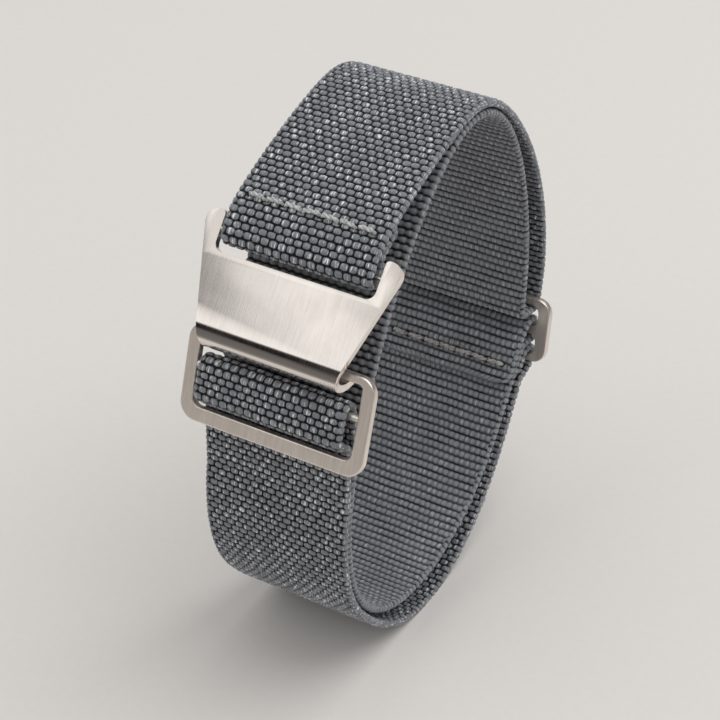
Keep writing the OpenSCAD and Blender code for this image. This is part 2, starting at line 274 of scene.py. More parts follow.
def front_curve(f):
    a, b, c, d = curve_pull
    return (1 - f) ** 3 * a + 3 * (1 - f) ** 2 * f * b + 3 * (1 - f) * f * f * c + f ** 3 * d


def front_heading(f):
    return unit(front_curve(f + 0.01) - front_curve(f - 0.01))


def front_line(start, end):
    count = int(abs(end - start) * 60) + 1
    return [front_curve(start + (end - start) * i / count) for i in range(count + 1)]


ring_top = on_plate(on_hook(HOOK_H + SEAT_DOWN, -CURL_R - SEAT_BACK), RING_TILT,
                    -RING_TOP_BAR / 2, RING_T / 2)


def on_ring(drop, out):
    return on_plate(ring_top, RING_TILT, drop, out)


RING_FOLD_R = RING_T / 2 + BAR_CLEAR + HALF_T
RING_FRONT = RING_FOLD_R - RING_T / 2
RING_LOW_TOP = RING_H - RING_LOW_BAR
# The short strap leans across a little more the higher it climbs
LEAN = STRAP_LEAN / stand(on_ring(RING_BAR_DROP, -RING_T / 2))[1]

SLIDER_H = 2 * SLIDER_BAR + SLIDER_MID_BAR + 2 * SLIDER_SLOT
SLIDER_OUT = SLIDER_T / 2 + BAR_CLEAR + HALF_T
slider_mid = np.array([upper_line(BACK_SLIDER)[0] - SLIDER_OUT, oval(BACK_SLIDER)[1] - SLIDER_DROP])


def on_slider(out, up):
    return slider_mid + np.array([out, up])


FOLD_R = HALF_T + BAR_CLEAR
BEND_R = STRAP_T
TURN_UP = SLIDER_MID_BAR / 2 + SLIDER_SLOT - FOLD_R
MID_TOP = SLIDER_MID_BAR / 2 + FOLD_R
LOW_TOP = -SLIDER_MID_BAR / 2 - SLIDER_SLOT + FOLD_R
RUN_UP = LOW_TOP + LAYER_PITCH
run_knee = on_slider(-SLIDER_OUT - STRAP_T, RUN_UP)
leg_heading = unit(inner_line(BACK_LOW) - run_knee)
leg_inward = np.array([leg_heading[1], -leg_heading[0]])
tail_knee = run_knee + LAYER_PITCH * leg_inward
tail_end = tail_knee + TAIL_LEN * leg_heading
low_tail_end = on_slider(-SLIDER_OUT, LOW_TOP) + LOW_TAIL_LEN * leg_heading
low_knee = low_tail_end - (LAYER_PITCH + LAYER_CLEAR) * leg_inward
low_turn = on_slider(SLIDER_OUT, -SLIDER_H / 2 - STRAP_T)

ring_knee = on_ring(RING_LOW_TOP - RING_KNEE_UP, -RING_T - RING_KNEE_BACK)
ring_heading = unit(lower_line(RING_MEET) - ring_knee)
ring_inward = left_of(ring_heading)
ring_tail_knee = ring_knee + (LAYER_PITCH + LAYER_CLEAR) * ring_inward


def bent(points, radii):
    """A line through points with its inner points rounded."""
    line = [np.asarray(points[0], float)]
    for i in range(1, len(points) - 1):
        a, b, c = (np.asarray(p, float) for p in points[i - 1:i + 2])
        to_a, to_c = unit(a - b), unit(c - b)
        half = math.acos(max(-1.0, min(1.0, float(to_a @ to_c)))) / 2
        r = radii[i - 1]
        mid = b + unit(to_a + to_c) * r / math.sin(half)
        start, end = b + to_a * r / math.tan(half) - mid, b + to_c * r / math.tan(half) - mid
        line += [mid + r * unit(start + (end - start) * k / 10) for k in range(11)]
    return line + [np.asarray(points[-1], float)]


def wrap(place, drop, mid_out, r, start, end):
    """Half a turn round a bar whose axis lies drop below a plate's top edge."""
    return [place(drop + r * sind(a), mid_out + r * cosd(a)) for a in np.linspace(start, end, 25)]


def spaced(points, step):
    """The same line with points at an even step, and how far along it each of them lies."""
    points = np.array(points)
    keep = np.r_[True, np.linalg.norm(np.diff(points, axis=0), axis=1) > 1e-4]
    points = points[keep]
    run = np.r_[0, np.cumsum(np.linalg.norm(np.diff(points, axis=0), axis=1))]
    count = int(round(run[-1] / step))
    s = np.linspace(0, run[-1], count + 1)
    return np.stack([np.interp(s, run, points[:, i]) for i in (0, 1)], 1), s


def softened(values, passes):
    for _ in range(passes):
        values = np.concatenate([values[:1], (values[:-2] + 2 * values[1:-1] + values[2:]) / 4, values[-1:]])
    return values


def scatter(a, b, c):
    """Fixed numbers from 0 to 1 that look random, one for each place in the weave."""
    mixed = np.sin(a * 127.1 + b * 311.7 + c * 74.7) * 43758.5453
    return mixed - np.floor(mixed)


def dome(dx, ds):
    """Height of one bump of the weave, squarer across than along."""
    return np.sqrt(np.clip(1 - np.abs(dx) ** 3.4 - np.abs(ds) ** 2.5, 0, None))


def weave(x, s, seed):
    """Height and tone of a woven face at x across and s along, in millimetres."""
    s = s + ROW_WAVE * np.sin(x * ROW_WAVE_RATE + seed)
    height, tone = np.zeros_like(x), np.full_like(x, 0.5)
    for step in (-1, 0, 1):
        row = np.floor(s / ROW) + step
        shift = np.mod(row, 2) * COLUMN / 2
        for side in (-1, 0, 1):
            column = np.floor((x - shift) / COLUMN) + side
            a, b, c, d = (scatter(row, column, seed + k) for k in (1, 2, 3, 4))
            middle = (column + 0.5) * COLUMN + shift + (a - 0.5) * 0.06
            half_x = COLUMN * (BUMP_HALF + 0.02 * (c - 0.5))
            half_s = ROW * (BUMP_HALF + 0.03 * (d - 0.5))
            here = dome((x - middle) / half_x, (s - (row + 0.5) * ROW - (b - 0.5) * 0.03) / half_s)
            here = here * (0.95 + 0.05 * b)
            tone = np.where(here > height, scatter(row, column, seed + 7), tone)
            height = np.maximum(height, here)
    return height, tone


def ribs(x, s, seed):
    """Height and tone of the inside of the loop, whose rows are closed ribs of small beads."""
    s = s + ROW_WAVE * np.sin(x * ROW_WAVE_RATE + seed)
    row = np.floor(s / RIB)
    place = x / BEAD + np.mod(row, 2) / 2 + 0.12 * scatter(row, 3.0, seed)
    ridge = np.sqrt(np.clip(1 - np.abs((s / RIB - row - 0.5) / BUMP_HALF) ** 2.1, 0, None))
    bead = 0.50 + 0.50 * np.sqrt(np.abs(np.sin(math.pi * place)))
    return ridge * bead * (0.96 + 0.04 * scatter(row, 1.0, seed)), scatter(row, np.floor(place), seed + 7)


def face_weave(face, ribbed, x, s, seed):
    """Bumps, or ribs past the share of the length that ribbed gives for the face."""
    bumps = weave(x, s, seed)
    if face not in ribbed:
        return bumps
    past = s >= s[0] + (s[-1] - s[0]) * ribbed[face]
    return [np.where(past, rib, bump) for rib, bump in zip(ribs(x, s, seed), bumps)]


def selvedge(turn, s, seed):
    """Height and tone of the beads that close the weave at its edges; turn runs from -1 to 1."""
    height, tone = np.zeros_like(turn), np.full_like(turn, 0.5)
    for step in (-1, 0, 1):
        row = np.floor(s / ROW) + step
        a, b = scatter(row, seed + 11.0, 1.0), scatter(row, seed + 12.0, 2.0)
        here = dome(turn / 1.25, (s - (row + 0.5) * ROW - (a - 0.5) * 0.12) / (ROW * (0.505 + 0.04 * b)))
        tone = np.where(here > height, scatter(row, seed + 5.0, 3.0), tone)
        height = np.maximum(height, here * (0.93 + 0.07 * b))
    return height, tone


class Strap:
    """One woven strap: its middle line from cut end to cut end, and the lengths it is divided into."""

    def __init__(self, parts, seed):
        self.seed = seed
        line, ends, length = [], [], 0.0
        for name, points in parts:
            points = [np.asarray(p, float) for p in points]
            points = points if not line else [line[-1]] + points
            length += sum(np.linalg.norm(b - a) for a, b in zip(points, points[1:]))
            line += points if not line else points[1:]
            ends.append((name, length))
        self.line, self.s = spaced(line, ROW / ROW_STEPS)
        last = len(self.s) - 1
        self.lengths, start = {}, 0
        for name, place in ends:
            end = last if place == length else int(round(place / length * last / ROW_STEPS)) * ROW_STEPS
            self.lengths[name] = (start, end)
            start = end
        heading = softened(np.gradient(self.line, axis=0), 4)
        self.heading = heading / np.linalg.norm(heading, axis=1)[:, None]
        self.out = np.stack([-self.heading[:, 1], self.heading[:, 0]], 1)
        self.holes = []

    def nearest(self, point, name):
        """Row of the named length that lies nearest to a profile point."""
        start, end = self.lengths[name]
        return start + int(np.argmin(np.linalg.norm(self.line[start:end + 1] - point, axis=1)))

    def section(self, fine):
        """Kinds and places round the section: left face, right edge, right face, left edge."""
        def face(name):
            steps = FINE_STEPS if name in fine else PLAIN_STEPS
            return np.linspace(-FACE_HALF, FACE_HALF, int(round(2 * FACE_HALF / COLUMN * steps)) + 1)
        turn = np.linspace(-1, 1, EDGE_STEPS + 2)[1:-1]
        runs = [face("left"), turn, face("right")[::-1], turn]
        return np.concatenate([np.full(len(r), k) for k, r in enumerate(runs)]), np.concatenate(runs)

    def skin(self, name, fine, ribbed):
        """Points of the strap's surface from row to row, with what its finish needs of them."""
        start, end = self.lengths[name]
        rows = np.arange(start, end + 1)
        kind, place = self.section(fine)
        shape = (len(rows), len(kind))
        kind, place = np.broadcast_to(kind, shape), np.broadcast_to(place, shape)
        s = np.broadcast_to(self.s[rows][:, None], kind.shape)
        pick = [kind == 0, kind == 1, kind == 2, kind == 3]
        found = [face_weave(0, ribbed, place, s, self.seed), selvedge(place, s, self.seed),
                 face_weave(2, ribbed, place, s, self.seed + 40.0), selvedge(place, s, self.seed + 20.0)]
        height = np.select(pick, [f[0] for f in found])
        tone = np.select(pick, [f[1] for f in found])
        for row, face, places in self.holes:
            for x in places:
                near = np.hypot(place - x, (s - self.s[row]) * 0.9) / 0.5
                height = np.where(pick[face], height * np.clip(near, 0, 1) ** 1.5, height)
        from_end = np.minimum(s - self.s[0], self.s[-1] - s)
        thin = np.sqrt(1 - np.clip(1 - from_end / 0.5, 0, 0.95) ** 2)
        corner = TAIL_CORNER - np.sqrt(TAIL_CORNER ** 2 - np.clip(TAIL_CORNER - from_end, 0, None) ** 2)
        narrow = 1 - corner / (STRAP_W / 2)
        reach = (HALF_T - BUMP_H + BUMP_H * height) * thin
        angle = place * math.pi / 2
        across = np.select(pick, [place, FACE_HALF + reach * np.cos(angle), place,
                                  -FACE_HALF - reach * np.cos(angle)]) * narrow
        up = np.select(pick, [reach, -reach * np.sin(angle), -reach, reach * np.sin(angle)])
        points = stand(self.line[rows][:, None, :] + up[..., None] * self.out[rows][:, None, :])
        points[..., 1] = np.maximum(points[..., 1], 0.0)
        yarn = np.select(pick, [place, 12 + angle, place + 30, -12 + angle])
        return np.concatenate([across[..., None], points], 2) * MM, height, tone, yarn, s

    def cut(self, name, fine=("left",), ribbed={}):
        """The mesh of one length of the strap, closed where the webbing is cut."""
        points, height, tone, yarn, s = self.skin(name, fine, ribbed)
        rows, count = points.shape[:2]
        index = np.arange(rows * count).reshape(rows, count)
        beside = np.roll(index, -1, axis=1)
        corners = np.stack([index[:-1], beside[:-1], beside[1:], index[1:]], -1).reshape(-1)
        starts = np.arange(0, len(corners), 4)
        for closed, ring in ((self.lengths[name][0] == 0, index[0][::-1]),
                             (self.lengths[name][1] == len(self.s) - 1, index[-1])):
            if closed:
                starts = np.append(starts, len(corners))
                corners = np.concatenate([corners, ring])
        mesh = bpy.data.meshes.new(name)
        mesh.vertices.add(rows * count)
        mesh.vertices.foreach_set("co", points.astype(np.float32).ravel())
        mesh.loops.add(len(corners))
        mesh.loops.foreach_set("vertex_index", corners.astype(np.int32))
        mesh.polygons.add(len(starts))
        mesh.polygons.foreach_set("loop_start", starts.astype(np.int32))
        mesh.polygons.foreach_set("use_smooth", np.ones(len(starts), bool))
        mesh.update(calc_edges=True)
        measures = {"bump_height": height, "bump_tone": tone, "yarn_across": yarn, "yarn_along": s}
        for label, values in measures.items():
            layer = mesh.attributes.new(label, "FLOAT", "POINT")
            layer.data.foreach_set("value", values.astype(np.float32).ravel())
        self.unroll(mesh, corners, rows, count)
        mesh.validate()
        return link(name, mesh)

    def unroll(self, mesh, corners, rows, count):
        """The surface laid flat as one sheet, row above row, for the baked patterns."""
        row, column = corners // count, (corners % count).astype(float)
        quads = 4 * (rows - 1) * count
        turned = np.zeros(len(corners), bool)
        corner_columns = column[:quads].reshape(-1, 4)
        turned[:quads] = np.repeat(corner_columns.max(1) - corner_columns.min(1) > 2, 4)
        column = np.where(turned & (column == 0), count, column)
        places = np.stack([0.01 + 0.98 * column / count, 0.01 + 0.98 * row / max(rows - 1, 1)], 1)
        mesh.uv_layers.new(name="OFBake").uv.foreach_set("vector", places.astype(np.float32).ravel())


def link(name, mesh):
    made = bpy.data.objects.new(name, mesh)
    bpy.context.collection.objects.link(made)
    return made


# The straps' middle lines, from cut end to cut end
behind_hook = [front_curve(f) + LAYER_PITCH * left_of(front_heading(f))
               for f in np.linspace(HOOK_TAIL_END, HOOK_TAIL_START, 16)]
round_hook_bar = wrap(on_hook, HOOK_BAR_DROP, -HOOK_T / 2, HOOK_FOLD_R, 180, 0)
inner_leg = inner_line(BACK_SLIDER)
leg_up = left_of(oval_normal(BACK_SLIDER))
turn_in = inner_leg - leg_up * (inner_leg[1] - on_slider(0, TURN_UP)[1]) / leg_up[1]

long_strap = Strap([
    ("hook_fold_webbing", behind_hook + round_hook_bar + front_line(1, FOLD_START)),
    ("front_stretch_weave", front_line(FOLD_START, STRETCH_START)),
    ("outer_upper_weave", front_line(STRETCH_START, 0) + along(upper_line, TOP_LEAVE, BACK_HIGH)),
    ("outer_upper_back_weave", along(upper_line, BACK_HIGH, BACK_SLIDER)),
    ("slider_turn_weave", bent([upper_line(BACK_SLIDER), on_slider(SLIDER_OUT, TURN_UP), turn_in, inner_leg],
                               [FOLD_R, BEND_R])),
    ("inner_upper_back_weave", along(inner_line, BACK_SLIDER, BACK_HIGH)),
    ("inner_loop_weave", along(inner_line, BACK_HIGH, BACK_LOWER_END)),
    ("inner_lower_back_weave", along(inner_line, BACK_LOWER_END, BACK_LOW)),
    ("slider_fold_webbing", bent([inner_line(BACK_LOW), run_knee, on_slider(SLIDER_OUT, RUN_UP),
                                  on_slider(SLIDER_OUT, MID_TOP), on_slider(-SLIDER_OUT, MID_TOP),
                                  tail_knee, tail_end], [BEND_R, FOLD_R, FOLD_R, FOLD_R, BEND_R])),
], 3.0)

round_ring_bar = wrap(on_ring, RING_BAR_DROP, -RING_T / 2, RING_FOLD_R, 180, 360)
ring_strap_line = Strap([
    ("ring_strap_weave", bent([ring_tail_knee + RING_TAIL_LEN * ring_heading, ring_tail_knee,
                               round_ring_bar[0]], [BEND_R])
     + round_ring_bar
     + bent([round_ring_bar[-1], on_ring(RING_LOW_TOP - RING_TURN_UP, RING_FRONT), ring_knee,
             lower_line(RING_MEET)], [BEND_R] * 2)
     + along(lower_line, RING_MEET + 5, BACK_LOWER_END)),
    ("outer_lower_back_weave", along(lower_line, BACK_LOWER_END, BACK_LOW)),
    ("lower_slider_fold_webbing", bent([lower_line(BACK_LOW), low_knee, low_turn,
                                        on_slider(SLIDER_OUT, LOW_TOP), on_slider(-SLIDER_OUT, LOW_TOP),
                                        low_tail_end],
                                       [BEND_R, BEND_R, FOLD_R, FOLD_R])),
], 71.0)


# Stitching: a row of short two-ply stitches that dive into the webbing at both ends
pitch = (STRAP_W - 2 * STITCH_INSET + STITCH_GAP) / STITCHES
stitch_mids = [(i - (STITCHES - 1) / 2) * pitch for i in range(STITCHES)]
hole_places = [mid + side * (pitch - STITCH_GAP * 0.6) / 2 for mid in stitch_mids for side in (-1, 1)]


def tube(centres, radius, verts, faces, around=10):
    """Adds a round tube along points to the lists of a mesh."""
    centres = np.array(centres)
    first = len(verts)
    heading = np.gradient(centres, axis=0)
    heading /= np.linalg.norm(heading, axis=1)[:, None]
    side = np.cross(heading, [0.0, 0.0, 1.0])
    side /= np.linalg.norm(side, axis=1)[:, None]
    over = np.cross(side, heading)
    for i, centre in enumerate(centres):
        for k in range(around):
            a = 2 * math.pi * k / around
            verts.append(centre + radius * (math.cos(a) * side[i] + math.sin(a) * over[i]))
    for i in range(len(centres) - 1):
        for k in range(around):
            a, b = first + i * around + k, first + i * around + (k + 1) % around
            faces.append((a, b, b + around, a + around))
    faces.append(tuple(first + k for k in range(around))[::-1])
    faces.append(tuple(first + (len(centres) - 1) * around + k for k in range(around)))


def stitch_row(name, strap, part, seam, face, seed):
    """Seven stitches across the strap at a seam, and the holes that they pull into the weave."""
    row = strap.nearest(np.asarray(seam, float), part)
    strap.holes.append((row, face, hole_places))
    sign = 1 if face == 0 else -1
    out3 = np.array([0, *(stand(strap.line[row] + sign * strap.out[row]) - stand(strap.line[row]))])
    head3 = np.array([0, *(stand(strap.line[row] + strap.heading[row]) - stand(strap.line[row]))])
    centre = np.array([0, *stand(strap.line[row])])
    verts, faces = [], []
    rng = np.random.default_rng(seed)
    for mid in stitch_mids:
        half = (pitch - STITCH_GAP * 0.6) / 2
        lean, lift, phase = rng.normal(0, 0.07), rng.normal(0, 0.02), rng.uniform(0, math.pi)
        t = np.linspace(-1, 1, 41)
        low = np.clip((np.abs(t) - 0.72) / 0.28, 0, 1)
        height = HALF_T + STITCH_RISE + lift - 0.08 * t ** 2 - 0.62 * low ** 1.7
        path = centre + np.outer(mid + t * half, [1.0, 0, 0])
        path = path + np.outer(height, out3) + np.outer(lean * t, head3)
        for ply in (0, math.pi):
            turn = ply + phase + t * math.pi * PLY_TURNS
            twisted = path + PLY_OFFSET * (np.outer(np.sin(turn), out3) * 0.8 + np.outer(np.cos(turn), head3))
            tube(twisted * MM, PLY_R * MM, verts, faces)
    mesh = bpy.data.meshes.new(name)
    mesh.from_pydata([tuple(v) for v in verts], [], faces)
    mesh.shade_smooth()
    return link(name, mesh)


low_seam = low_knee - BEND_R * unit(low_knee - lower_line(BACK_LOW))
hook_stitches = stitch_row("hook_seam_stitches", long_strap, "hook_fold_webbing",
                           front_curve(HOOK_SEAM), 0, 5)
slider_stitches = stitch_row("slider_seam_stitches", long_strap, "slider_fold_webbing",
                             tail_end - TAIL_SEAM_UP * leg_heading, 2, 6)
low_stitches = stitch_row("lower_fold_seam_stitches", ring_strap_line, "lower_slider_fold_webbing",
                          low_seam, 2, 7)
ring_stitches = stitch_row("ring_seam_stitches", ring_strap_line, "ring_strap_weave",
                           ring_knee + RING_SEAM_DOWN * ring_heading, 2, 8)

hook_fold = long_strap.cut("hook_fold_webbing")
front_stretch = long_strap.cut("front_stretch_weave")
outer_upper = long_strap.cut("outer_upper_weave")
outer_upper_back = long_strap.cut("outer_upper_back_weave")
slider_turn = long_strap.cut("slider_turn_weave", ribbed={0: 0.5})
inner_upper_back = long_strap.cut("inner_upper_back_weave", ribbed={0: 0.0})
inner_loop = long_strap.cut("inner_loop_weave", ribbed={0: 0.0})
inner_lower_back = long_strap.cut("inner_lower_back_weave", ribbed={0: 0.0})
slider_fold = long_strap.cut("slider_fold_webbing", fine=("left", "right"), ribbed={0: 0.0, 2: 0.0})
ring_webbing = ring_strap_line.cut("ring_strap_weave", fine=("left", "right"))
for leaning in (ring_webbing, ring_stitches):
    leaning.data.transform(Matrix(((1, 0, LEAN, 0), (0, 1, 0, 0), (0, 0, 1, 0), (0, 0, 0, 1))))
outer_lower_back = ring_strap_line.cut("outer_lower_back_weave", fine=("right",))
lower_slider_fold = ring_strap_line.cut("lower_slider_fold_webbing", fine=("left", "right"))


# Sheet metal
def rounded(points, radii):
    """A closed outline with its corners rounded."""
    line = []
    for i, b in enumerate(points):
        a, c = points[i - 1], points[(i + 1) % len(points)]
        line += bent([a, b, c], [radii[i]])[1:-1]
    return line


def box_points(w, low, high):
    return [np.array(p, float) for p in ((-w / 2, low), (w / 2, low), (w / 2, high), (-w / 2, high))]


def smooth_edges(mesh, angle=32):
    mesh.shade_smooth()
    mesh.set_sharp_from_angle(angle=math.radians(angle))


def join_meshes(name, parts):
    """One mesh of several, which leaves none of them behind."""
    work = bmesh.new()
    for mesh in parts:
        work.from_mesh(mesh)
        bpy.data.meshes.remove(mesh)
    mesh = bpy.data.meshes.new(name)
    work.to_mesh(mesh)
    work.free()
    smooth_edges(mesh)
    return link(name, mesh)


def flat_plate(outlines, thickness, soft, place):
    """A plate with holes and softened edges; place turns (across, drop, out) into a profile point."""
    curve = bpy.data.curves.new("plate_outline", "CURVE")
    curve.dimensions = "2D"
    curve.fill_mode = "BOTH"
    curve.extrude, curve.offset = thickness / 2 - soft, -soft
    curve.bevel_depth, curve.bevel_resolution = soft, 2
    for outline in outlines:
        spline = curve.splines.new("POLY")
        spline.points.add(len(outline) - 1)
        for point, (x, y) in zip(spline.points, outline):
            point.co = (x, y, 0, 1)
        spline.use_cyclic_u = True
    holder = link("plate_outline", curve)
    mesh = bpy.data.meshes.new_from_object(holder)
    bpy.data.objects.remove(holder)
    bpy.data.curves.remove(curve)
    for vertex in mesh.vertices:
        x, y, z = vertex.co
        vertex.co = space(x, place(-y, z - thickness / 2))
    return mesh


def bar(place, drop, out, length, radius, around=28):
    """A round bar across, whose axis lies at a drop and an outward place of its plate."""
    mesh = bpy.data.meshes.new("bar")
    verts = [space(side * length / 2, place(drop + radius * sind(a), out + radius * cosd(a)))
             for side in (-1, 1) for a in np.linspace(0, 360, around, endpoint=False)]
    faces = [(k, (k + 1) % around, around + (k + 1) % around, around + k) for k in range(around)]
    faces += [tuple(range(around))[::-1], tuple(range(around, 2 * around))]
    mesh.from_pydata(verts, [], faces)
    return mesh


def hook_side(d):
    """(depth behind the front face, drop) of the hook's outer face, d along it from its top edge."""
    if d <= HOOK_H:
        return 0.0, d
    turn = (d - HOOK_H) / CURL_R
    if turn <= math.pi:
        return CURL_R - CURL_R * math.cos(turn), HOOK_H + CURL_R * math.sin(turn)
    return 2 * CURL_R, HOOK_H - (d - HOOK_H - math.pi * CURL_R)


def hook_half(d):
    return (HOOK_TOP_W - (HOOK_TOP_W - HOOK_LOW_W) * hook_side(d)[1] / HOOK_H) / 2


def hook_sheet():
    """The hook's plate, cut flat with its ears and slot and then rolled at its lower edge."""
    end = HOOK_H + math.pi * CURL_R + LIP_H + HOOK_T / 3
    foot_r = 0.5
    side_d = np.r_[np.linspace(HOOK_CORNER_R * 1.4, HOOK_H, 6), np.linspace(HOOK_H, end - foot_r, 30)[1:]]
    side = [(hook_half(d), d) for d in side_d]
    foot = [(hook_half(end) - foot_r * (1 - cosd(a)), end - foot_r + foot_r * sind(a)) for a in (30, 60, 90)]
    x = SLOT_W / 2
    ear = bent([side[0], (HOOK_TOP_W / 2, 0.0), (x, 0.0), (x, HOOK_SLOT_DROP), (0.0, HOOK_SLOT_DROP)],
               [HOOK_CORNER_R, EAR_R, SLOT_CORNER_R])[1:-1]
    right = [tuple(p) for p in reversed(side + foot)] + [tuple(p) for p in ear]
    outline = right + [(-px, pd) for px, pd in reversed(right)]
    work = bmesh.new()
    work.faces.new([work.verts.new((px, pd, 0)) for px, pd in outline])
    for d in [HOOK_SLOT_DROP + 0.6, *np.linspace(HOOK_H - 0.001, end - 0.55, 34)]:
        bmesh.ops.bisect_plane(work, geom=work.verts[:] + work.edges[:] + work.faces[:],
                               plane_co=(0, d, 0), plane_no=(0, 1, 0), dist=1e-5)
    for vertex in work.verts:
        depth, drop = hook_side(vertex.co.y)
        vertex.co = space(vertex.co.x, on_hook(drop, -depth))
    bmesh.ops.recalc_face_normals(work, faces=work.faces[:])
    front = (space(0, on_hook(0, 1)) - space(0, on_hook(0, 0))).normalized()
    work.faces.ensure_lookup_table()
    largest = max(work.faces, key=lambda f: f.calc_area())
    if largest.normal.dot(front) < 0:
        bmesh.ops.reverse_faces(work, faces=work.faces[:])
    mesh = bpy.data.meshes.new("hook_sheet")
    work.to_mesh(mesh)
    work.free()
    holder = link("hook_sheet", mesh)
    thick = holder.modifiers.new("thickness", "SOLIDIFY")
    thick.thickness, thick.offset = HOOK_T * MM, -1
    soft = holder.modifiers.new("soft_edges", "BEVEL")
    soft.width, soft.segments = EDGE_SOFT["hook"] * MM, 3
    soft.limit_method, soft.angle_limit = "ANGLE", math.radians(40)
    bpy.context.view_layer.update()
    finished = bpy.data.meshes.new_from_object(holder.evaluated_get(bpy.context.evaluated_depsgraph_get()))
    bpy.data.objects.remove(holder)
    bpy.data.meshes.remove(mesh)
    return finished


hook = join_meshes("hook_steel_plate", [
    hook_sheet(), bar(on_hook, HOOK_BAR_DROP, -HOOK_T / 2, SLOT_W + 2 * HOOK_T, HOOK_T / 2 - BAR_IN_FOLD)])

ring_window = rounded(box_points(RING_SLOT_W, -RING_LOW_TOP, -RING_TOP_BAR),
                      [SLOT_CORNER_R, SLOT_CORNER_R, SLOT_CORNER_R / 2, SLOT_CORNER_R / 2])
ring = join_meshes("catch_ring_frame", [
    flat_plate([rounded(box_points(RING_W, -RING_H, 0), [RING_CORNER_R] * 4), ring_window],
               RING_T, EDGE_SOFT["ring"], on_ring),
    bar(on_ring, RING_BAR_DROP, -RING_T / 2, RING_SLOT_W + RING_T, RING_T / 2 - BAR_IN_FOLD)])
ring.data.transform(Matrix.Translation((RING_SHIFT * MM, 0, 0)))

low_slot = -SLIDER_MID_BAR / 2 - SLIDER_SLOT
slider = join_meshes("slider_plate", [flat_plate(
    [rounded(box_points(SLIDER_W, -SLIDER_H / 2, SLIDER_H / 2), [SLIDER_CORNER_R] * 4),
     rounded(box_points(SLOT_W, low_slot, low_slot + SLIDER_SLOT), [SLOT_CORNER_R] * 4),
     rounded(box_points(SLOT_W, SLIDER_MID_BAR / 2, SLIDER_MID_BAR / 2 + SLIDER_SLOT), [SLOT_CORNER_R] * 4)],
    SLIDER_T, EDGE_SOFT["slider"], lambda drop, out: on_slider(SLIDER_T / 2 + out, -drop))])


# Finishes
class Wire:
    """A socket that a finish's arithmetic is written with."""

    def __init__(self, finish, socket):
        self.finish, self.socket = finish, socket

    def math(self, operation, *others):
        return self.finish.node("ShaderNodeMath", {"operation": operation}, [self, *others])

    def __add__(self, other):
        return self.math("ADD", other)

    def __sub__(self, other):
        return self.math("SUBTRACT", other)

    def __mul__(self, other):
        return self.math("MULTIPLY", other)

    def __rsub__(self, other):
        return self.finish.node("ShaderNodeMath", {"operation": "SUBTRACT"}, [other, self])

    __radd__ = __add__
    __rmul__ = __mul__


class Finish:
    """A material, or the studio round the object: one shader and the nodes that feed it."""

    def __init__(self, name, owner=None):
        self.material = owner or bpy.data.materials.new(name)
        self.material.use_nodes = True
        self.tree = self.material.node_tree
        self.shader = next(n for n in self.tree.nodes if n.type in ("BSDF_PRINCIPLED", "BACKGROUND"))

    def node(self, kind, settings, inputs=(), out=0):
        """A node of a kind, its settings made first, then the values or links of its inputs."""
        made = self.tree.nodes.new(kind)
        for key, value in settings.items():
            setattr(made, key, value)
        pairs = inputs.items() if isinstance(inputs, dict) else enumerate(inputs)
        for key, value in pairs:
            self.feed(made.inputs[key], value)
        return Wire(self, made.outputs[out])

    def feed(self, socket, value):
        if isinstance(value, Wire):
            self.tree.links.new(value.socket, socket)
        elif isinstance(value, tuple) and socket.type == "RGBA" and len(value) == 3:
            socket.default_value = (*value, 1)
        else:
            socket.default_value = value

    def wear(self, **values):
        """Feeds the shader's own sockets, named with underscores for spaces."""
        for key, value in values.items():
            self.feed(self.shader.inputs[key.replace("_", " ")], value)

    def read(self, label):
        return self.node("ShaderNodeAttribute", {"attribute_name": label}, out="Fac")

    def vector(self, x, y, z):
        return self.node("ShaderNodeCombineXYZ", {}, [x, y, z])

    def noise(self, place, scale, detail=2.0, roughness=0.5):
        return self.node("ShaderNodeTexNoise", {"noise_dimensions": "3D"},
                         {"Vector": place, "Scale": scale, "Detail": detail, "Roughness": roughness})

    def between(self, value, low, high, to_low=0.0, to_high=1.0):
        return self.node("ShaderNodeMapRange", {"interpolation_type": "SMOOTHSTEP"},
                         {"Value": value, "From Min": low, "From Max": high,
                          "To Min": to_low, "To Max": to_high})

    def colour_mix(self, factor, a, b, blend="MIX"):
        return self.node("ShaderNodeMix", {"data_type": "RGBA", "blend_type": blend},
                         {0: factor, 6: a, 7: b}, out=2)

    def bump(self, height, distance, strength):
        return self.node("ShaderNodeBump", {}, {"Height": height, "Distance": distance, "Strength": strength})


